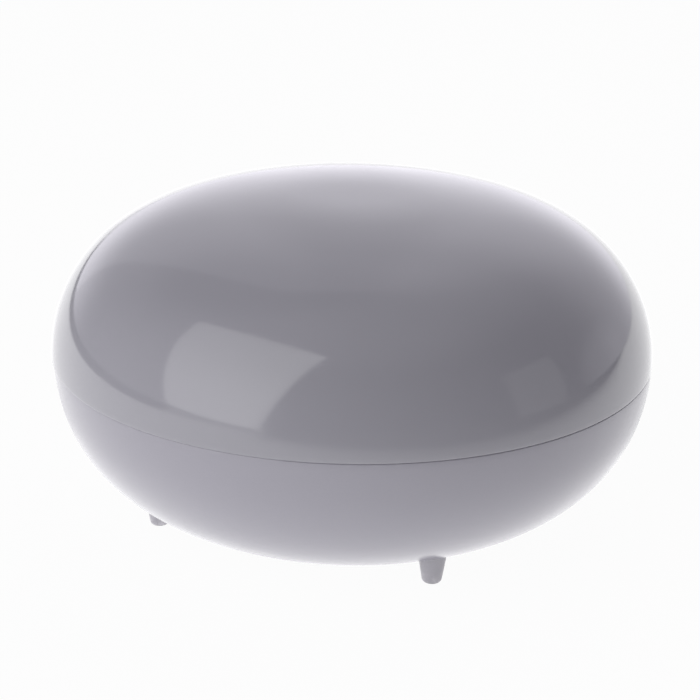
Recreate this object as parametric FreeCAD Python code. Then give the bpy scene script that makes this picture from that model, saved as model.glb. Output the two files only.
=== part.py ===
import FreeCAD, Part
import math
import os

# Travel soap box: a round pebble made of two shells, on four peg feet, with a loose drain tray.
# Millimetres, +Z up. The pebble's axis is the Z axis, its front is -Y, and the foot tips stand on z = 0.

# Lid
lid_radius = 58.0  # outside, at the rim
lid_rise = 29.8  # from the rim to the crown
lid_wall = 2.0
lid_crown_power = 3.62  # power on the radius: higher is a flatter crown
lid_side_power = 1.93  # power on the height: higher is a steeper side
lid_rim_round = 0.6  # outer edge of the rim
lid_rim_inner_round = 0.3

# Base
lid_overhang = 0.5  # how far the lid's rim stands out past the base, on the radius
base_depth = 32.5  # from the seam down to where the full curve would close
base_wall = 2.0
base_belly_power = 3.43
base_side_power = 2.06
underside_radius = 32.0  # flat underside, before its edge is rounded
underside_round = 12.0
floor_clearance = 1.8  # underside above what the box stands on
shoulder_round = 0.5  # outer edge of the shoulder that carries the lid

# Lip of the base, which keeps the lid in place
lip_height = 4.0
lip_wall = 1.6
lip_clearance = 0.3  # to the lid's inside
lip_root = 3.0  # how far the lip runs down the inside of the bowl
lip_round = 0.4

# Feet, pushed into sockets in the four posts
foot_circle_radius = 39.6
foot_angles = (-45.0, -135.0, 135.0, 45.0)
foot_names = ("foot_front_right", "foot_front_left", "foot_rear_left", "foot_rear_right")
foot_root_radius = 2.45  # where the foot meets the belly
foot_tip_radius = 1.75
foot_tip_round = 0.7
spigot_radius = 1.7
socket_clearance = 0.05
socket_depth = 4.0  # from the belly up to the socket's ceiling
socket_headroom = 0.3  # from the spigot's end to that ceiling
post_wall = 1.8  # round the socket
post_round = 0.4

# Drain tray
drip_depth = 8.1  # from the bowl's floor up to the tray
tray_clearance = 0.6  # from the tray's edge to the bowl
tray_thickness = 2.0
tray_rim_height = 4.8  # from the tray's underside to the top of its rim
tray_rim_wall = 1.8
tray_edge_round = 1.0  # under the tray's edge and inside its rim
tray_rim_round = 0.6
seat_depth = 0.8  # recess in the tray's underside for each post
seat_clearance = 0.3
rail_pitch = 10.0
rail_width = 2.6
rail_height = 1.8
rail_round = 0.9
rail_end_gap = 3.0  # from a rail's end to the tray's rim
slot_width = 3.5
slot_end_gap = 4.0  # from a slot's end to the tray's rim
slot_post_gap = 1.0  # from a slot to a post's seat
bridge_width = 6.0  # bar left across the middle of the slots
rail_side_gap = 12.0  # least gap from the outermost rail to the tray's rim
ear_height = 6.0  # two raised parts of the rim, to lift the tray by
ear_arch_radius = 12.0
ear_inset = 0.2  # from the rim's faces to the ear's
ear_round = 0.5

# Points along half of a pebble's outline, and how near to a stated ring an edge must lie
outline_points = 17
ring_tolerance = 0.05

up = FreeCAD.Vector(0, 0, 1)
centre = FreeCAD.Vector(0, 0, 0)


# Half of a pebble, from the seam to its pole: (r / radius)^crown + (h / height)^side = 1
class Pebble:
    def __init__(self, radius, height, crown_power, side_power):
        self.radius = radius
        self.height = height
        self.crown_power = crown_power
        self.side_power = side_power

    def inside(self, wall):
        return Pebble(self.radius - wall, self.height - wall, self.crown_power, self.side_power)

    def radius_at(self, height):
        return self.radius * (1 - (height / self.height) ** self.side_power) ** (1 / self.crown_power)

    def height_at(self, radius):
        return self.height * (1 - (radius / self.radius) ** self.crown_power) ** (1 / self.side_power)

    # The outline's direction at one of its points, towards the pole
    def heading(self, radius, height):
        inward = self.side_power * (height / self.height) ** (self.side_power - 1) / self.height
        upward = self.crown_power * (radius / self.radius) ** (self.crown_power - 1) / self.radius
        return FreeCAD.Vector(-inward, 0, upward)

    # A dome that stands on z = 0. It is cut flat at the given radius, or closed if that is 0.
    def dome(self, flat_radius=0.0):
        quarter = math.pi / 2
        last_turn = math.acos((flat_radius / self.radius) ** (self.crown_power / 2))
        last_share = (1 - last_turn / quarter) ** (2 / self.crown_power)
        points = []
        for index in range(outline_points):
            share = 1 - (1 - last_share) * index / (outline_points - 1)
            turn = quarter * (1 - share ** (self.crown_power / 2))
            height = self.height * math.sin(turn) ** (2 / self.side_power)
            radius = self.radius * math.cos(turn) ** (2 / self.crown_power)
            points.append(FreeCAD.Vector(radius, 0, height))
        points[-1] = FreeCAD.Vector(flat_radius, 0, self.height_at(flat_radius))
        pole = FreeCAD.Vector(0, 0, points[-1].z)
        outline = Part.BSplineCurve()
        outline.interpolate(
            Points=points,
            InitialTangent=self.heading(points[0].x, points[0].z),
            FinalTangent=self.heading(points[-1].x, points[-1].z),
        )
        edges = [outline.toShape(), Part.makeLine(pole, centre), Part.makeLine(centre, points[0])]
        if flat_radius > 0:
            edges.insert(1, Part.makeLine(points[-1], pole))
        return solid_of(Part.Face(Part.Wire(edges)).revolve(centre, up, 360))


# The one solid in a shape, turned the right way out
def solid_of(shape):
    (solid,) = shape.Solids
    if solid.Volume < 0:
        solid.reverse()
    return solid


def cylinder(radius, low, high, x=0.0, y=0.0):
    return Part.makeCylinder(radius, high - low, FreeCAD.Vector(x, y, low), up)


# The circular edges of a solid at one height and radius
def ring_edges(solid, radius, height):
    found = []
    for edge in solid.Edges:
        if edge.Degenerated or not isinstance(edge.Curve, Part.Circle):
            continue
        miss = abs(edge.Curve.Radius - radius) + abs(edge.Curve.Center.z - height)
        if miss < ring_tolerance:
            found.append(edge)
    return found


def rounded_ring(solid, radius, height, size):
    return solid_of(solid.makeFillet(size, ring_edges(solid, radius, height)))


# A bowl under z = 0 whose bottom is cut flat at the given depth and rounded there
def flat_bowl(pebble, depth):
    flat_radius = pebble.radius_at(depth)
    dome = rounded_ring(pebble.dome(flat_radius), flat_radius, depth, underside_round)
    return solid_of(dome.mirror(centre, up))


# An upright bar with round ends that runs along Y
def round_ended_bar(x, start, end, width, low, high):
    half = width / 2
    near = FreeCAD.Vector(x, start + half, low)
    far = FreeCAD.Vector(x, end - half, low)
    side = FreeCAD.Vector(half, 0, 0)
    reach = FreeCAD.Vector(0, half, 0)
    edges = [
        Part.Arc(near - side, near - reach, near + side).toShape(),
        Part.makeLine(near + side, far + side),
        Part.Arc(far + side, far + reach, far - side).toShape(),
        Part.makeLine(far - side, near - side),
    ]
    return Part.Face(Part.Wire(edges)).extrude(FreeCAD.Vector(0, 0, high - low))


# Shapes and heights that follow from the sizes above. Shell heights are measured from the seam.
lid_outside = Pebble(lid_radius, lid_rise, lid_crown_power, lid_side_power)
lid_inside = lid_outside.inside(lid_wall)
base_radius = lid_radius - lid_overhang
base_outside = Pebble(base_radius, base_depth, base_belly_power, base_side_power)
base_inside = base_outside.inside(base_wall)
underside_depth = base_outside.height_at(underside_radius)
bowl_floor_depth = underside_depth - base_wall
seam_height = underside_depth + floor_clearance

lip_outer_radius = lid_inside.radius_at(lip_height) - lip_clearance
lip_inner_radius = lip_outer_radius - lip_wall

tray_depth = bowl_floor_depth - drip_depth
tray_radius = base_inside.radius_at(tray_depth) - tray_clearance
tray_inner_radius = tray_radius - tray_rim_wall
tray_low = seam_height - tray_depth
tray_top = tray_low + tray_thickness
rail_steps = int((tray_inner_radius - rail_side_gap) // rail_pitch)  # each side of the middle
tray_rim_top = tray_low + tray_rim_height

post_radius = spigot_radius + socket_clearance + post_wall
post_top = seat_depth - tray_depth
seat_radius = post_radius + seat_clearance
foot_root = -min(base_outside.height_at(foot_circle_radius), underside_depth)
socket_top = foot_root + socket_depth
foot_places = []
for angle in foot_angles:
    turn = math.radians(angle)
    foot_places.append((foot_circle_radius * math.cos(turn), foot_circle_radius * math.sin(turn)))


def make_lid():
    lid = solid_of(lid_outside.dome().cut(lid_inside.dome()))
    lid = rounded_ring(lid, lid_outside.radius, 0, lid_rim_round)
    lid = rounded_ring(lid, lid_inside.radius, 0, lid_rim_inner_round)
    return lid


# The lip stands on the shoulder, and its root widens into the bowl's wall at 45 degrees
def make_lip():
    root_radius = base_radius - base_wall / 2
    root_low = -lip_root - (root_radius - lip_inner_radius)
    outline = [
        (lip_inner_radius, lip_height),
        (lip_outer_radius, lip_height),
        (lip_outer_radius, 0),
        (root_radius, 0),
        (root_radius, root_low),
        (lip_inner_radius, -lip_root),
    ]
    points = [FreeCAD.Vector(radius, 0, height) for radius, height in outline]
    wire = Part.makePolygon(points + points[:1])
    lip = solid_of(Part.Face(wire).revolve(centre, up, 360))
    return lip.makeFillet(
        lip_round,
        ring_edges(lip, lip_inner_radius, lip_height) + ring_edges(lip, lip_outer_radius, lip_height),
    )


def make_base():
    outside = flat_bowl(base_outside, underside_depth)
    inside = flat_bowl(base_inside, bowl_floor_depth)
    base = outside.cut(inside).fuse(make_lip())
    within_wall = flat_bowl(base_outside.inside(base_wall / 2), underside_depth - base_wall / 2)
    for x, y in foot_places:
        post = cylinder(post_radius, -base_depth, post_top, x, y)
        post = post.makeFillet(post_round, ring_edges(post, post_radius, post_top))
        base = base.fuse(post.common(within_wall))
    for x, y in foot_places:
        base = base.cut(cylinder(spigot_radius + socket_clearance, -base_depth, socket_top, x, y))
    base = solid_of(base.removeSplitter())
    return rounded_ring(base, base_radius, 0, shoulder_round)


# A tapered peg whose top follows the belly, with a spigot that goes up into the socket
def make_foot(x, y):
    tip = -seam_height
    taper = (foot_root_radius - foot_tip_radius) / (foot_root - tip)
    top = foot_root + foot_root_radius
    top_radius = foot_root_radius + taper * foot_root_radius
    peg = Part.makeCone(foot_tip_radius, top_radius, top - tip, FreeCAD.Vector(x, y, tip), up)
    peg = rounded_ring(peg, foot_tip_radius, tip, foot_tip_round)
    collar = peg.cut(flat_bowl(base_outside, underside_depth))
    spigot = cylinder(spigot_radius, foot_root - foot_root_radius, socket_top - socket_headroom, x, y)
    return solid_of(collar.fuse(spigot).removeSplitter())


def tray_rails():
    rails = []
    usable_radius = tray_inner_radius - rail_end_gap
    for step in range(-rail_steps, rail_steps + 1):
        x = step * rail_pitch
        reach = math.sqrt(usable_radius ** 2 - x ** 2)
        low = tray_top - tray_thickness / 2
        bar = round_ended_bar(x, -reach, reach, rail_width, low, tray_top + rail_height)
        top_edges = [edge for edge in bar.Edges if edge.CenterOfMass.z > tray_top + rail_height / 2]
        rails.append(bar.makeFillet(rail_round, top_edges))
    return rails


# Two slots in each gap between the rails, one each side of the bridge, kept off the posts' seats
def tray_slots():
    slots = []
    usable_radius = tray_inner_radius - slot_end_gap
    post_x, post_y = max(foot_places)
    keep_off = seat_radius + slot_post_gap
    for step in range(-rail_steps, rail_steps):
        x = (step + 0.5) * rail_pitch
        end = math.sqrt(usable_radius ** 2 - x ** 2)
        if abs(abs(x) - abs(post_x)) < keep_off + slot_width / 2:
            end = min(end, abs(post_y) - keep_off)
        start = bridge_width / 2
        slots.append(round_ended_bar(x, start, end, slot_width, tray_low, tray_top))
        slots.append(round_ended_bar(x, -end, -start, slot_width, tray_low, tray_top))
    return slots


# An arch that stands in the rim at each side, at -X and at +X
def tray_ears():
    low = tray_top - tray_thickness / 2
    high = tray_rim_top + ear_height
    ring = cylinder(tray_radius - ear_inset, low, high).cut(cylinder(tray_inner_radius + ear_inset, low, high))
    arch_start = FreeCAD.Vector(-tray_radius, 0, high - ear_arch_radius)
    arch = Part.makeCylinder(ear_arch_radius, 2 * tray_radius, arch_start, FreeCAD.Vector(1, 0, 0))
    ears = []
    for ear in ring.common(arch).Solids:
        arch_edges = [edge for edge in ear.Edges if edge.CenterOfMass.z > tray_rim_top]
        ears.append(ear.makeFillet(ear_round, arch_edges))
    return ears


def make_tray():
    tray = cylinder(tray_radius, tray_low, tray_rim_top)
    tray = tray.cut(cylinder(tray_inner_radius, tray_top, tray_rim_top))
    tray = rounded_ring(tray, tray_radius, tray_low, tray_edge_round)
    tray = rounded_ring(tray, tray_inner_radius, tray_top, tray_edge_round)
    tray = rounded_ring(tray, tray_radius, tray_rim_top, tray_rim_round)
    tray = rounded_ring(tray, tray_inner_radius, tray_rim_top, tray_rim_round)
    for part in tray_ears() + tray_rails():
        tray = tray.fuse(part)
    for slot in tray_slots():
        tray = tray.cut(slot)
    for x, y in foot_places:
        tray = tray.cut(cylinder(seat_radius, tray_low, tray_low + seat_depth, x, y))
    return solid_of(tray.removeSplitter())


def place_on_feet(shape):
    return shape.translated(FreeCAD.Vector(0, 0, seam_height))


nodes = {
    "lid": place_on_feet(make_lid()),
    "base": place_on_feet(make_base()),
    "drain_tray": make_tray(),
}
for name, (x, y) in zip(foot_names, foot_places):
    nodes[name] = place_on_feet(make_foot(x, y))

os.makedirs("parts", exist_ok=True)
for name, shape in nodes.items():
    box = shape.optimalBoundingBox()
    print(
        f"{name}: {len(shape.Solids)} solid, valid {shape.isValid()}, {shape.Volume / 1000:.2f} cm3,",
        f"{box.XLength:.2f} x {box.YLength:.2f} mm, z {box.ZMin:.2f} to {box.ZMax:.2f}",
    )
    shape.exportStep(f"parts/{name}.step")
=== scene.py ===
import math
import bmesh
import bpy
from mathutils import Matrix, Vector


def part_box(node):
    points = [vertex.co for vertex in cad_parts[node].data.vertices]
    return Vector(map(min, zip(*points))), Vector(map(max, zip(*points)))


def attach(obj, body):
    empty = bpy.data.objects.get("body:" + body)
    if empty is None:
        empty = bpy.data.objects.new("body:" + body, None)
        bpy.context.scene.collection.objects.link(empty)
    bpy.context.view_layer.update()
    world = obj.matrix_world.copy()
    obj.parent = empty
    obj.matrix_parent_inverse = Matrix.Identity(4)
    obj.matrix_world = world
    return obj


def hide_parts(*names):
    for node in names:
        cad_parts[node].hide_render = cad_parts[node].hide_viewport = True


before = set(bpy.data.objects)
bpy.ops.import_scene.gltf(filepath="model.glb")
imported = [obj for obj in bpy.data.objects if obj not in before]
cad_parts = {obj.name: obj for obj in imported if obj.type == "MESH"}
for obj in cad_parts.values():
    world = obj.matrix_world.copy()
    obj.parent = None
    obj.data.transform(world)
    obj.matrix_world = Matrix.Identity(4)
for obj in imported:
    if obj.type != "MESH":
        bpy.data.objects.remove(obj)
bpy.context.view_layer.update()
scene = bpy.context.scene
mm = 0.001
sharpAngle = math.radians(38)
print("frame loaded:", len(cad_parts), "solids")


# helpers for turned shells

def pebbleOutline(radius, rise, crownPower, sidePower, steps):
    # crown (0, rise) to rim (radius, 0), stepped by even turns
    points = []
    for step in range(steps + 1):
        reach = math.sin(math.pi / 2 * step / steps)
        height = rise * max(0.0, 1 - reach ** crownPower) ** (1 / sidePower)
        points.append((radius * reach, height))
    return points


def turnOutline(bm, outline, spinSteps):
    # a chain of (radius, height) points, turned once round the upright axis
    chain = [bm.verts.new((r, 0, z)) for r, z in outline]
    edges = [bm.edges.new(pair) for pair in zip(chain, chain[1:])]
    bmesh.ops.spin(bm, geom=chain + edges, axis=(0, 0, 1), cent=(0, 0, 0), angle=math.tau,
                   steps=spinSteps, use_merge=True)
    bmesh.ops.remove_doubles(bm, verts=bm.verts, dist=1e-7)
    bmesh.ops.recalc_face_normals(bm, faces=bm.faces)


def roundEdges(bm, edges, offset, segments):
    bmesh.ops.bevel(bm, geom=edges, offset=offset, offset_type="OFFSET", affect="EDGES",
                    segments=segments, profile=0.5, material=-1, clamp_overlap=True)


def roundRing(bm, radius, height, offset, segments, slack=0.02 * mm):
    # rounds the edges of one turned ring
    def onRing(vert):
        reach = math.hypot(vert.co.x, vert.co.y)
        return abs(reach - radius) < slack and abs(vert.co.z - height) < slack
    ring = [edge for edge in bm.edges if all(onRing(vert) for vert in edge.verts)]
    roundEdges(bm, ring, offset, segments)


def finishPiece(bm, name, body, slotName, material, *nodes):
    mesh = bpy.data.meshes.new(name)
    bm.to_mesh(mesh)
    bm.free()
    mesh.polygons.foreach_set("use_smooth", [True] * len(mesh.polygons))
    mesh.set_sharp_from_angle(angle=sharpAngle)
    piece = bpy.data.objects.new(name, mesh)
    scene.collection.objects.link(piece)
    mesh.materials.append(material)
    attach(piece, body)
    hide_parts(*nodes)
    print(name, "made:", len(mesh.polygons), "faces")


# helpers for node trees

def newGroup(name, inputs, outputs):
    group = bpy.data.node_groups.new(name, "ShaderNodeTree")
    for label, kind, value in inputs:
        socket = group.interface.new_socket(name=label, in_out="INPUT", socket_type=kind)
        socket.default_value = value
    for label, kind in outputs:
        group.interface.new_socket(name=label, in_out="OUTPUT", socket_type=kind)
    start = group.nodes.new("NodeGroupInput")
    end = group.nodes.new("NodeGroupOutput")
    return group, start, end


def addNode(tree, kind, settings=None, values=None):
    node = tree.nodes.new(kind)
    for key, value in (settings or {}).items():
        setattr(node, key, value)
    for key, value in (values or {}).items():
        node.inputs[key].default_value = value
    return node


def mathNode(tree, operation, first, second=None, third=None, clamp=False):
    node = addNode(tree, "ShaderNodeMath", {"operation": operation, "use_clamp": clamp})
    for index, value in enumerate((first, second, third)):
        if value is None:
            continue
        if isinstance(value, (int, float)):
            node.inputs[index].default_value = value
        else:
            tree.links.new(value, node.inputs[index])
    return node.outputs[0]


def vectorNode(tree, operation, vector):
    node = addNode(tree, "ShaderNodeVectorMath", {"operation": operation})
    tree.links.new(vector, node.inputs[0])
    return node


def alongNode(tree, vector, direction):
    node = vectorNode(tree, "DOT_PRODUCT", vector)
    node.inputs[1].default_value = direction
    return node.outputs["Value"]


def noiseNode(tree, vector, scale, detail, roughness=0.5):
    node = addNode(tree, "ShaderNodeTexNoise", None,
                   {"Scale": scale, "Detail": detail, "Roughness": roughness})
    tree.links.new(vector, node.inputs["Vector"])
    return node.outputs["Fac"]


def stretchedNode(tree, vector, turn, scale):
    node = addNode(tree, "ShaderNodeMapping", None, {"Rotation": turn, "Scale": scale})
    tree.links.new(vector, node.inputs["Vector"])
    return node.outputs["Vector"]


def rampNode(tree, value, low, high):
    node = addNode(tree, "ShaderNodeMapRange", {"interpolation_type": "SMOOTHSTEP"},
                   {"From Min": low, "From Max": high})
    tree.links.new(value, node.inputs["Value"])
    return node.outputs["Result"]


# shared surface effects

def makeTintGroup():
    # slow drift of the pigment and a fine fleck, as in coloured moulding resin
    group, start, end = newGroup("mouldedTint", [
        ("Vector", "NodeSocketVector", (0, 0, 0)), ("Colour", "NodeSocketColor", (0.3, 0.3, 0.3, 1)),
        ("Drift", "NodeSocketFloat", 0.04), ("Fleck", "NodeSocketFloat", 0.03)],
        [("Colour", "NodeSocketColor")])
    drift = noiseNode(group, start.outputs["Vector"], scale=38.0, detail=3.0)
    fleck = noiseNode(group, start.outputs["Vector"], scale=2600.0, detail=2.0, roughness=0.7)
    level = 1.0
    for noise, amount in ((drift, "Drift"), (fleck, "Fleck")):
        centred = mathNode(group, "SUBTRACT", noise, 0.5)
        level = mathNode(group, "MULTIPLY_ADD", centred, start.outputs[amount], level)
    shade = vectorNode(group, "SCALE", start.outputs["Colour"])
    group.links.new(level, shade.inputs["Scale"])
    group.links.new(shade.outputs[0], end.inputs["Colour"])
    return group


def makeScratchGroup():
    # hairline handling marks in two directions, as a mask
    group, start, end = newGroup("hairScratches", [
        ("Vector", "NodeSocketVector", (0, 0, 0)), ("Amount", "NodeSocketFloat", 1.0)],
        [("Mask", "NodeSocketFloat")])
    masks = []
    for turn, stretch in (((0.2, 0.5, 0.7), (55, 1500, 700)), ((0.9, -0.3, 2.1), (1400, 48, 600))):
        along = stretchedNode(group, start.outputs["Vector"], turn, stretch)
        lines = noiseNode(group, along, scale=1.0, detail=1.0)
        masks.append(rampNode(group, lines, low=0.70, high=0.76))
    spots = noiseNode(group, start.outputs["Vector"], scale=60.0, detail=2.0)
    patches = rampNode(group, spots, low=0.45, high=0.65)
    both = mathNode(group, "MAXIMUM", masks[0], masks[1])
    spread = mathNode(group, "MULTIPLY", both, patches)
    mask = mathNode(group, "MULTIPLY", spread, start.outputs["Amount"], clamp=True)
    group.links.new(mask, end.inputs["Mask"])
    return group


def makeRubAndPaintedLightGroup():
    # a band about one height of the piece, broken up by noise: rubbed wear on the lid, base and tray, and
    # on the feet painted light, a lighter tip standing in for the white table's light
    group, start, end = newGroup("edgeRubAndPaintedLight", [
        ("Vector", "NodeSocketVector", (0, 0, 0)), ("Height", "NodeSocketFloat", 0.03),
        ("Width", "NodeSocketFloat", 0.0008)], [("Mask", "NodeSocketFloat")])
    parts = addNode(group, "ShaderNodeSeparateXYZ")
    group.links.new(start.outputs["Vector"], parts.inputs[0])
    above = mathNode(group, "SUBTRACT", parts.outputs["Z"], start.outputs["Height"])
    away = mathNode(group, "DIVIDE", mathNode(group, "ABSOLUTE", above), start.outputs["Width"])
    near = mathNode(group, "SUBTRACT", 1.0, away, clamp=True)
    spots = noiseNode(group, start.outputs["Vector"], scale=420.0, detail=4.0, roughness=0.6)
    broken = rampNode(group, spots, low=0.40, high=0.72)
    group.links.new(mathNode(group, "MULTIPLY", near, broken), end.inputs["Mask"])
    return group


def makeFilmGroup():
    # faint smears that dull the gloss a little, as a mask
    group, start, end = newGroup("handlingFilm", [
        ("Vector", "NodeSocketVector", (0, 0, 0)), ("Scale", "NodeSocketFloat", 70.0)],
        [("Mask", "NodeSocketFloat")])
    noise = addNode(group, "ShaderNodeTexNoise", None,
                    {"Detail": 5.0, "Roughness": 0.62, "Distortion": 0.8})
    group.links.new(start.outputs["Vector"], noise.inputs["Vector"])
    group.links.new(start.outputs["Scale"], noise.inputs["Scale"])
    mask = rampNode(group, noise.outputs["Fac"], low=0.38, high=0.72)
    group.links.new(mask, end.inputs["Mask"])
    return group


tintGroup = makeTintGroup()
scratchGroup = makeScratchGroup()
rubAndPaintedLightGroup = makeRubAndPaintedLightGroup()
filmGroup = makeFilmGroup()
print("shared effects ready")


def mouldedMaterial(name, look):
    # one moulded finish: tinted colour, gloss broken by film, scratches, a rubbed band (painted light on
    # the feet), and a fine skin relief
    material = bpy.data.materials.new(name)
    material.use_nodes = True
    tree = material.node_tree
    tree.nodes.clear()
    place = addNode(tree, "ShaderNodeTexCoord").outputs["Object"]

    def placed(group, **values):
        node = addNode(tree, "ShaderNodeGroup", {"node_tree": group}, values)
        tree.links.new(place, node.inputs["Vector"])
        return node.outputs[0]

    tint = placed(tintGroup, Colour=look["colour"] + (1.0,), Drift=look["drift"], Fleck=look["fleck"])
    scratch = placed(scratchGroup, Amount=look["scratch"])
    rubAndPaintedLight = placed(rubAndPaintedLightGroup, Height=look["rubAndPaintedLightHeight"], Width=look["rubAndPaintedLightWidth"])
    film = placed(filmGroup, Scale=look["filmScale"])

    # the band lightens the colour: rubbed wear on most pieces, painted light on the feet
    wornAndPaintedLight = addNode(tree, "ShaderNodeMix", {"data_type": "RGBA", "blend_type": "MIX"})
    tree.links.new(mathNode(tree, "MULTIPLY", rubAndPaintedLight, look["rubAndPaintedLightLevel"]), wornAndPaintedLight.inputs["Factor"])
    tree.links.new(tint, wornAndPaintedLight.inputs["A"])
    wornAndPaintedLight.inputs["B"].default_value = look["rubAndPaintedLightColour"] + (1.0,)

    rough = mathNode(tree, "MULTIPLY_ADD", film, look["filmRough"], look["rough"])
    rough = mathNode(tree, "MULTIPLY_ADD", scratch, look["scratchRough"], rough)
    rough = mathNode(tree, "MULTIPLY_ADD", rubAndPaintedLight, look["rubRough"], rough)

    swell = noiseNode(tree, place, look["swellScale"], detail=2.0)
    grain = noiseNode(tree, place, look["grainScale"], detail=3.0, roughness=0.6)
    relief = mathNode(tree, "MULTIPLY", swell, look["swellDepth"])
    relief = mathNode(tree, "MULTIPLY_ADD", grain, look["grainDepth"], relief)
    relief = mathNode(tree, "MULTIPLY_ADD", scratch, -look["scratchDepth"], relief)
    bump = addNode(tree, "ShaderNodeBump", None, {"Strength": 1.0, "Distance": 1.0 * mm})
    tree.links.new(relief, bump.inputs["Height"])

    shader = addNode(tree, "ShaderNodeBsdfPrincipled", None, {"IOR": look["ior"]})
    tree.links.new(wornAndPaintedLight.outputs["Result"], shader.inputs["Base Color"])
    tree.links.new(rough, shader.inputs["Roughness"])
    tree.links.new(bump.outputs["Normal"], shader.inputs["Normal"])
    out = addNode(tree, "ShaderNodeOutputMaterial")
    tree.links.new(shader.outputs["BSDF"], out.inputs["Surface"])
    return material


def srgb(red, green, blue):
    def linear(level):
        level = level / 255
        return level / 12.92 if level <= 0.04045 else ((level + 0.055) / 1.055) ** 2.4
    return (linear(red), linear(green), linear(blue))


# lid: high-gloss dome

lidLow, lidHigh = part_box("lid")
lid = {
    "radius": 58.0 * mm, "wall": 2.0 * mm, "crownPower": 3.62, "sidePower": 1.93,
    "rimRound": 0.3 * mm, "rimInnerRound": 0.3 * mm, "play": 0.22 * mm, "playTurn": 255.0,
    "outsideSteps": 64, "insideSteps": 44, "spinSteps": 256,
    "look": {
        "colour": srgb(148.5, 147.5, 154.5), "drift": 0.05, "fleck": 0.03, "ior": 1.58, "rough": 0.085,
        "filmScale": 55.0, "filmRough": 0.05,
        "scratch": 0.8, "scratchRough": 0.10, "scratchDepth": 0.0006,
        "rubAndPaintedLightHeight": lidLow.z + 0.35 * mm, "rubAndPaintedLightWidth": 0.7 * mm, "rubAndPaintedLightLevel": 0.2,
        "rubAndPaintedLightColour": srgb(164, 163, 170), "rubRough": 0.12,
        "swellScale": 90.0, "swellDepth": 0.010, "grainScale": 900.0, "grainDepth": 0.0006},
}


def makeLid(s):
    rim = lidLow.z
    radius = s["radius"] - s["play"]
    inner = s["radius"] - s["wall"]
    rise = lidHigh.z - rim
    outside = pebbleOutline(radius, rise, s["crownPower"], s["sidePower"], s["outsideSteps"])
    inside = pebbleOutline(inner, rise - s["wall"], s["crownPower"], s["sidePower"], s["insideSteps"])
    outline = [(r, rim + h) for r, h in outside] + [(r, rim + h) for r, h in reversed(inside)]
    bm = bmesh.new()
    turnOutline(bm, outline, s["spinSteps"])
    roundRing(bm, radius, rim, s["rimRound"], segments=5)
    roundRing(bm, inner, rim, s["rimInnerRound"], segments=3)
    # it rests a little to one side in its play
    turn = math.radians(s["playTurn"])
    shift = (s["play"] * math.sin(turn), -s["play"] * math.cos(turn), 0)
    bmesh.ops.translate(bm, verts=bm.verts, vec=shift)
    finishPiece(bm, "lidShell", "lid", "lid_plastic", mouldedMaterial("lidGloss", s["look"]), "lid")


makeLid(lid)


# base: softer-gloss bowl with the locating lip, and the posts that carry the tray

baseLow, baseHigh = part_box("base")
seamHeight = lidLow.z
base = {
    "radius": 57.5 * mm, "depth": 32.5 * mm, "wall": 2.0 * mm, "bellyPower": 3.43, "sidePower": 2.06,
    "undersideRound": 1.44 * mm, "undersideGap": 2.2 * mm, "shoulderRound": 0.18 * mm,
    "lipOuter": 55.33 * mm, "lipWall": 1.6 * mm, "lipRound": 0.4 * mm,
    "lipRoot": 3.0 * mm, "lipRootRound": 1.0 * mm,
    "postRadius": 3.55 * mm, "postCircle": 39.6 * mm, "postTop": 12.7 * mm, "postRound": 0.4 * mm,
    "postSides": 48, "postSlack": 0.001 * mm,
    "outsideSteps": 56, "insideSteps": 40, "spinSteps": 256,
    "look": {
        "colour": srgb(151, 149, 158), "drift": 0.05, "fleck": 0.05, "ior": 1.6, "rough": 0.20,
        "filmScale": 60.0, "filmRough": 0.06,
        "scratch": 0.3, "scratchRough": 0.04, "scratchDepth": 0.0001,
        "rubAndPaintedLightHeight": seamHeight - 0.25 * mm, "rubAndPaintedLightWidth": 0.6 * mm, "rubAndPaintedLightLevel": 0.15,
        "rubAndPaintedLightColour": srgb(172, 171, 178), "rubRough": 0.03,
        "swellScale": 80.0, "swellDepth": 0.006, "grainScale": 1400.0, "grainDepth": 0.0006},
}


def addPosts(bm, s, rim, floor):
    # four posts, their lower ends sunk to the middle of the wall
    middle = (s["postTop"] + floor) / 2
    for quarter in range(4):
        angle = math.radians(45 + 90 * quarter)
        place = (s["postCircle"] * math.cos(angle), s["postCircle"] * math.sin(angle), middle)
        made = bmesh.ops.create_cone(
            bm, cap_ends=True, segments=s["postSides"], radius1=s["postRadius"],
            radius2=s["postRadius"], depth=s["postTop"] - floor, matrix=Matrix.Translation(place))
        verts = set(made["verts"])
        for vert in verts:
            if vert.co.z < middle:
                reach = math.hypot(vert.co.x, vert.co.y) / s["radius"]
                belly = s["depth"] * (1 - reach ** s["bellyPower"]) ** (1 / s["sidePower"])
                vert.co.z = rim + s["wall"] / 2 - belly

        def onTop(vert):
            return vert in verts and abs(vert.co.z - s["postTop"]) < s["postSlack"]

        top = [edge for edge in bm.edges if all(onTop(vert) for vert in edge.verts)]
        roundEdges(bm, top, s["postRound"], segments=3)


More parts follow.
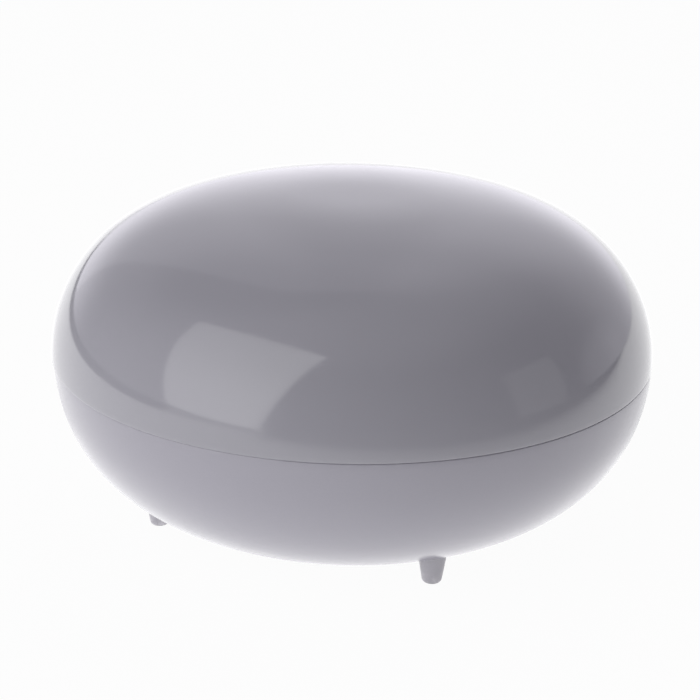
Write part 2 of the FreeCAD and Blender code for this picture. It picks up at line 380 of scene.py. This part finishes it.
def makeBase(s):
    rim = seamHeight
    floor = baseLow.z
    inner = s["radius"] - s["wall"]
    innerDepth = s["depth"] - s["wall"]
    outside = pebbleOutline(s["radius"], s["depth"], s["bellyPower"], s["sidePower"], s["outsideSteps"])
    inside = pebbleOutline(inner, innerDepth, s["bellyPower"], s["sidePower"], s["insideSteps"])

    def flatEdge(radius, depth, height):
        # where the belly meets the flat underside
        share = 1 - ((rim - height) / depth) ** s["sidePower"]
        return radius * share ** (1 / s["bellyPower"])

    innerFloor = floor + s["wall"]
    flatOut = flatEdge(s["radius"], s["depth"], floor)
    flatIn = flatEdge(inner, innerDepth, innerFloor)
    gap = s["undersideGap"]
    lipInner = s["lipOuter"] - s["lipWall"]
    rootDepth = s["lipRoot"] + inner - lipInner
    outline = [(0, floor), (flatOut / 2, floor), (flatOut, floor)]
    outline += [(r, rim - h) for r, h in outside if r > flatOut + gap]
    outline += [(s["lipOuter"], rim), (s["lipOuter"], baseHigh.z)]
    outline += [(lipInner, baseHigh.z), (lipInner, rim - s["lipRoot"])]
    outline += [(r, rim - h) for r, h in reversed(inside) if h > rootDepth and r > flatIn + gap]
    outline += [(flatIn, innerFloor), (flatIn / 2, innerFloor), (0, innerFloor)]
    bm = bmesh.new()
    turnOutline(bm, outline, s["spinSteps"])
    roundRing(bm, flatOut, floor, s["undersideRound"], segments=6)
    roundRing(bm, flatIn, innerFloor, s["undersideRound"], segments=5)
    roundRing(bm, s["radius"], rim, s["shoulderRound"], segments=4)
    roundRing(bm, s["lipOuter"], baseHigh.z, s["lipRound"], segments=4)
    roundRing(bm, lipInner, baseHigh.z, s["lipRound"], segments=4)
    roundRing(bm, lipInner, rim - s["lipRoot"], s["lipRootRound"], segments=4)
    addPosts(bm, s, rim, floor)
    satin = mouldedMaterial("baseSatin", s["look"])
    finishPiece(bm, "baseShell", "base", "base_plastic", satin, "base")


makeBase(base)


# tray and feet keep their solids, with finishes of their own

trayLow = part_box("drain_tray")[0]
tray = {
    "look": {
        "colour": srgb(152, 151, 157), "drift": 0.06, "fleck": 0.08, "ior": 1.48, "rough": 0.36,
        "filmScale": 90.0, "filmRough": 0.10,
        "scratch": 0.9, "scratchRough": 0.1, "scratchDepth": 0.001,
        "rubAndPaintedLightHeight": trayLow.z + 4.8 * mm, "rubAndPaintedLightWidth": 0.6 * mm, "rubAndPaintedLightLevel": 0.4,
        "rubAndPaintedLightColour": srgb(184, 183, 189), "rubRough": 0.1,
        "swellScale": 120.0, "swellDepth": 0.0015, "grainScale": 1800.0, "grainDepth": 0.006},
}
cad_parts["drain_tray"].material_slots[0].material = mouldedMaterial("traySatin", tray["look"])

# the feet's band is painted light: a lighter tip, about 2.6 mm high, standing in for the white table's
# light
foot = {
    "look": {
        "colour": srgb(168, 166, 172), "drift": 0.06, "fleck": 0.10, "ior": 1.45, "rough": 0.42,
        "filmScale": 300.0, "filmRough": 0.12,
        "scratch": 0.4, "scratchRough": 0.08, "scratchDepth": 0.001,
        "rubAndPaintedLightHeight": 0.0, "rubAndPaintedLightWidth": 2.6 * mm, "rubAndPaintedLightLevel": 1.0,
        "rubAndPaintedLightColour": srgb(222, 220, 224), "rubRough": 0.15,
        "swellScale": 500.0, "swellDepth": 0.004, "grainScale": 3000.0, "grainDepth": 0.008},
}
footRubber = mouldedMaterial("footRubber", foot["look"])
for name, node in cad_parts.items():
    if name.startswith("foot"):
        node.material_slots[0].material = footRubber
print("tray and feet dressed")


# camera of the photo

camera = {
    "aim": Vector((0, 0, seamHeight)), "distance": 333.5 * mm, "turn": 22.8, "lift": 20.15, "roll": 0.9,
    "lens": 88.05, "sensor": 36.0, "left": 0.530 * mm, "down": 1.340 * mm,
    "clipStart": 0.01, "clipEnd": 50.0,
}


def awayFrom(turn, lift):
    # turn 0 stands in front, along -Y, and grows towards +X
    turn = math.radians(turn)
    lift = math.radians(lift)
    return Vector((math.sin(turn) * math.cos(lift), -math.cos(turn) * math.cos(lift), math.sin(lift)))


def fromView(turn, lift):
    # turn 0 points where the camera looks, and -90 to its left
    return awayFrom(camera["turn"] + 180 - turn, lift)


def rollTurn(degrees):
    return Matrix.Rotation(math.radians(degrees), 3, "Z").to_quaternion()


def makeCamera(s):
    lens = bpy.data.cameras.new("photoCamera")
    lens.lens = s["lens"]
    lens.sensor_width = s["sensor"]
    lens.clip_start = s["clipStart"]
    lens.clip_end = s["clipEnd"]
    holder = bpy.data.objects.new("photoCamera", lens)
    scene.collection.objects.link(holder)
    back = awayFrom(s["turn"], s["lift"])
    spot = s["aim"] + back * s["distance"]
    straight = (-back).to_track_quat("-Z", "Y")
    target = s["aim"] - straight @ Vector((s["left"], s["down"], 0))
    holder.rotation_mode = "QUATERNION"
    holder.rotation_quaternion = (target - spot).to_track_quat("-Z", "Y") @ rollTurn(s["roll"])
    holder.location = spot
    scene.camera = holder


# lamps: a window at the front left, a strip at the right and the light of a lit sheet under the piece

windowLamp = {
    "turn": -140.0, "lift": 40.2, "roll": -4.6, "reach": 1.2, "side": -0.175, "up": -0.279,
    "wide": 0.89, "high": 1.198, "radiance": 1.78, "fadeFrom": 0.45, "fade": 0.35, "slant": 0.30,
}
stripLamp = {
    "turn": 109.0, "lift": 10.0, "roll": 0.0, "reach": 1.2, "side": 0.0, "up": 0.0,
    "wide": 0.40, "high": 0.58, "radiance": 0.32, "fadeFrom": 2.0, "fade": 0.0, "slant": 0.0,
}
tableLamp = {
    "across": 5.0, "corner": 0.452, "left": 0.40, "rightSlope": 0.62, "leftSlope": 8.0, "soft": 0.12,
    "height": 0.3 * mm, "radiance": 0.57,
}


def lampNodes(lamp):
    lamp.use_nodes = True
    tree = lamp.node_tree
    tree.nodes.clear()
    glow = addNode(tree, "ShaderNodeEmission")
    out = addNode(tree, "ShaderNodeOutputLight")
    tree.links.new(glow.outputs[0], out.inputs["Surface"])
    return tree, glow, addNode(tree, "ShaderNodeNewGeometry").outputs["Position"]


def makePanel(name, s):
    lamp = bpy.data.lights.new(name, "AREA")
    lamp.shape = "RECTANGLE"
    lamp.size = s["wide"] * s["reach"]
    lamp.size_y = s["high"] * s["reach"]
    lamp.energy = s["radiance"] * math.pi * lamp.size * lamp.size_y
    back = fromView(s["turn"], s["lift"])
    facing = (-back).to_track_quat("-Z", "Y") @ rollTurn(s["roll"])
    holder = bpy.data.objects.new(name, lamp)
    scene.collection.objects.link(holder)
    holder.location = camera["aim"] + (back + facing @ Vector((s["side"], s["up"], 0))) * s["reach"]
    holder.rotation_mode = "QUATERNION"
    holder.rotation_quaternion = facing
    holder.visible_camera = False
    # dimmer towards the top, and brighter towards one side
    tree, glow, spot = lampNodes(lamp)
    parts = addNode(tree, "ShaderNodeSeparateXYZ")
    tree.links.new(spot, parts.inputs[0])
    above = mathNode(tree, "SUBTRACT", parts.outputs["Z"], s["fadeFrom"])
    above = mathNode(tree, "MAXIMUM", above, 0.0)
    strength = mathNode(tree, "MULTIPLY_ADD", above, -s["fade"], 1.0)
    across = facing @ Vector((1, 0, 0))
    aside = mathNode(tree, "SUBTRACT", alongNode(tree, spot, across), holder.location.dot(across))
    strength = mathNode(tree, "MULTIPLY_ADD", aside, s["slant"], strength)
    tree.links.new(strength, glow.inputs["Strength"])


def sheetMask(tree, place, s):
    # 1 on a lit sheet with one corner at the front left, 0 off it, with a soft edge
    inside = alongNode(tree, place, fromView(0, 0))
    side = mathNode(tree, "ADD", alongNode(tree, place, fromView(90, 0)), s["left"])
    rightSide = mathNode(tree, "MAXIMUM", side, 0.0)
    inside = mathNode(tree, "MULTIPLY_ADD", rightSide, -s["rightSlope"], inside)
    leftSide = mathNode(tree, "MINIMUM", side, 0.0)
    inside = mathNode(tree, "MULTIPLY_ADD", leftSide, s["leftSlope"], inside)
    return rampNode(tree, inside, -s["corner"] - s["soft"], -s["corner"] + s["soft"])


def makeTableLamp(s):
    lamp = bpy.data.lights.new("tableLamp", "AREA")
    lamp.shape = "DISK"
    lamp.size = s["across"]
    lamp.energy = s["radiance"] * math.pi ** 2 * s["across"] ** 2 / 4
    holder = bpy.data.objects.new("tableLamp", lamp)
    scene.collection.objects.link(holder)
    behind = s["across"] / 2 - s["corner"] - 2 * s["soft"]
    holder.location = fromView(0, 0) * behind + Vector((0, 0, s["height"]))
    holder.rotation_euler = (math.pi, 0, math.radians(camera["turn"]))
    holder.visible_camera = False
    tree, glow, spot = lampNodes(lamp)
    tree.links.new(sheetMask(tree, spot, s), glow.inputs["Strength"])


# floor: seen white; in reflections it glows with painted light, white on the lit sheet and dim off it

floorLook = {
    "size": 12.0, "white": 0.75, "whiteShare": 0.96, "glossShare": 0.95,
    "dim": 0.22, "lit": 0.78, "sideLit": 0.18, "sideLitTo": 0.25,
    "nearLit": 0.20, "nearFrom": 0.055, "nearTo": 0.08,
    "pathTurn": -132.5, "pathHalf": 19.0, "pathSoft": 1.5,
}


def paintedFloorGlow(tree, place, s):
    # painted light for reflections: brighter towards both sides, and close to the piece
    aside = mathNode(tree, "ABSOLUTE", alongNode(tree, place, fromView(90, 0)))
    sides = rampNode(tree, aside, 0.0, s["sideLitTo"])
    bright = mathNode(tree, "MULTIPLY_ADD", sides, s["sideLit"], s["lit"] - s["dim"])
    away = vectorNode(tree, "LENGTH", place).outputs["Value"]
    near = mathNode(tree, "SUBTRACT", 1.0, rampNode(tree, away, s["nearFrom"], s["nearTo"]))
    bright = mathNode(tree, "MULTIPLY_ADD", near, s["nearLit"], bright)
    # painted light also on the floor between the sheet and the window lamp
    unit = vectorNode(tree, "NORMALIZE", place).outputs[0]
    facing = alongNode(tree, unit, fromView(s["pathTurn"], 0))
    outer = math.cos(math.radians(s["pathHalf"] + s["pathSoft"]))
    inner = math.cos(math.radians(s["pathHalf"] - s["pathSoft"]))
    path = rampNode(tree, facing, outer, inner)
    lit = mathNode(tree, "MAXIMUM", sheetMask(tree, place, tableLamp), path)
    return mathNode(tree, "MULTIPLY_ADD", lit, bright, s["dim"])


def makeFloor(s):
    bm = bmesh.new()
    bmesh.ops.create_grid(bm, x_segments=1, y_segments=1, size=s["size"] / 2)
    mesh = bpy.data.meshes.new("floorSheet")
    bm.to_mesh(mesh)
    bm.free()
    floor = bpy.data.objects.new("floorSheet", mesh)
    scene.collection.objects.link(floor)
    material = bpy.data.materials.new("floorWhite")
    material.use_nodes = True
    tree = material.node_tree
    tree.nodes.clear()
    rays = addNode(tree, "ShaderNodeLightPath").outputs
    place = addNode(tree, "ShaderNodeTexCoord").outputs["Object"]
    # to the camera the floor is white; for reflections its glow is painted light
    level = mathNode(tree, "MAXIMUM", paintedFloorGlow(tree, place, s), rays["Is Camera Ray"])
    mirrored = mathNode(tree, "MAXIMUM", rays["Is Glossy Ray"], rays["Is Transmission Ray"])
    mirrored = mathNode(tree, "MULTIPLY", mirrored, s["glossShare"])
    seen = mathNode(tree, "MULTIPLY", rays["Is Camera Ray"], s["whiteShare"])
    share = mathNode(tree, "MAXIMUM", mirrored, seen)
    matt = addNode(tree, "ShaderNodeBsdfDiffuse", None, {"Color": (s["white"],) * 3 + (1,)})
    white = addNode(tree, "ShaderNodeEmission", None, {"Color": (1, 1, 1, 1)})
    tree.links.new(level, white.inputs["Strength"])
    mix = addNode(tree, "ShaderNodeMixShader")
    tree.links.new(share, mix.inputs[0])
    tree.links.new(matt.outputs[0], mix.inputs[1])
    tree.links.new(white.outputs[0], mix.inputs[2])
    out = addNode(tree, "ShaderNodeOutputMaterial")
    tree.links.new(mix.outputs[0], out.inputs["Surface"])
    mesh.materials.append(material)


# room: dim towards the camera, brighter behind the piece, brightest low down on the backdrop

room = {
    "tint": (1.0, 0.98, 1.045), "front": 0.18, "back": 0.66, "lean": 9.0, "turnFrom": 0.0, "turnTo": 0.85,
    "lowBand": 0.68, "lowLean": -8.0, "lowFrom": 0.08, "lowTo": 0.40, "lowStart": 0.55, "lowEnd": 0.95,
    "middleFrom": 0.03, "middleTo": 0.15, "middleLow": 0.20, "middleDip": 0.36,
    "dipFrom": 0.19, "dipTo": 0.29,
    "sheet": 0.24,
    "sheetEdges": (
        {"turn": 52.0, "lift": 0.0, "start": -0.02, "end": 0.03},
        {"turn": 0.0, "lift": -17.4, "start": -0.02, "end": 0.04},
        {"turn": -47.0, "lift": 0.0, "start": -0.1, "end": 0.3}),
    "glows": (
        {"turn": 36.0, "lift": 12.0, "start": 0.8, "level": 0.30},
        {"turn": 0.0, "lift": 90.0, "start": 0.6, "level": 0.36},
        {"turn": -106.0, "lift": 8.0, "start": 0.55, "level": 0.54},
        {"turn": 72.0, "lift": 5.0, "start": 0.95, "level": 0.32},
        {"turn": -40.0, "lift": 62.0, "start": 0.88, "level": -0.20}),
}


def makeRoom(s):
    world = bpy.data.worlds.new("softRoom")
    scene.world = world
    world.use_nodes = True
    tree = world.node_tree
    tree.nodes.clear()
    place = addNode(tree, "ShaderNodeTexCoord").outputs["Generated"]
    height = alongNode(tree, place, (0, 0, 1))

    def towards(turn, lift, start, end):
        # 0 to 1 as a direction nears the given one
        return rampNode(tree, alongNode(tree, place, fromView(turn, lift)), start, end)

    behind = towards(s["lean"], 0, s["turnFrom"], s["turnTo"])
    level = mathNode(tree, "MULTIPLY_ADD", behind, s["back"] - s["front"], s["front"])
    low = mathNode(tree, "SUBTRACT", 1.0, rampNode(tree, height, s["lowFrom"], s["lowTo"]))
    low = mathNode(tree, "MULTIPLY", low, towards(s["lowLean"], 0, s["lowStart"], s["lowEnd"]))
    level = mathNode(tree, "MULTIPLY_ADD", low, s["lowBand"], level)
    # soft lights round about, and one darker patch of ceiling
    for glow in s["glows"]:
        near = towards(glow["turn"], glow["lift"], glow["start"], 1.0)
        level = mathNode(tree, "MULTIPLY_ADD", near, glow["level"], level)
    # backdrop sheet: crisp edge on the left and overhead, soft on the right
    sheet = 1.0
    for edge in s["sheetEdges"]:
        inside = towards(edge["turn"], edge["lift"], edge["start"], edge["end"])
        sheet = mathNode(tree, "MULTIPLY", inside, sheet)
    level = mathNode(tree, "MULTIPLY_ADD", sheet, s["sheet"], level)
    # middle of the backdrop: brighter low down and darker above
    aside = mathNode(tree, "ABSOLUTE", alongNode(tree, place, fromView(90, 0)))
    middle = mathNode(tree, "SUBTRACT", 1.0, rampNode(tree, aside, s["middleFrom"], s["middleTo"]))
    middle = mathNode(tree, "MULTIPLY", middle, behind)
    change = rampNode(tree, height, s["dipFrom"], s["dipTo"])
    change = mathNode(tree, "MULTIPLY_ADD", change, -s["middleDip"], s["middleLow"])
    level = mathNode(tree, "MULTIPLY_ADD", middle, change, level)
    light = addNode(tree, "ShaderNodeBackground", None, {"Color": s["tint"] + (1.0,)})
    tree.links.new(level, light.inputs["Strength"])
    out = addNode(tree, "ShaderNodeOutputWorld")
    tree.links.new(light.outputs[0], out.inputs["Surface"])


makeFloor(floorLook)
makeRoom(room)
makePanel("windowLamp", windowLamp)
makePanel("stripLamp", stripLamp)
makeTableLamp(tableLamp)
makeCamera(camera)
scene.view_settings.view_transform = "Standard"
print("studio and camera set")
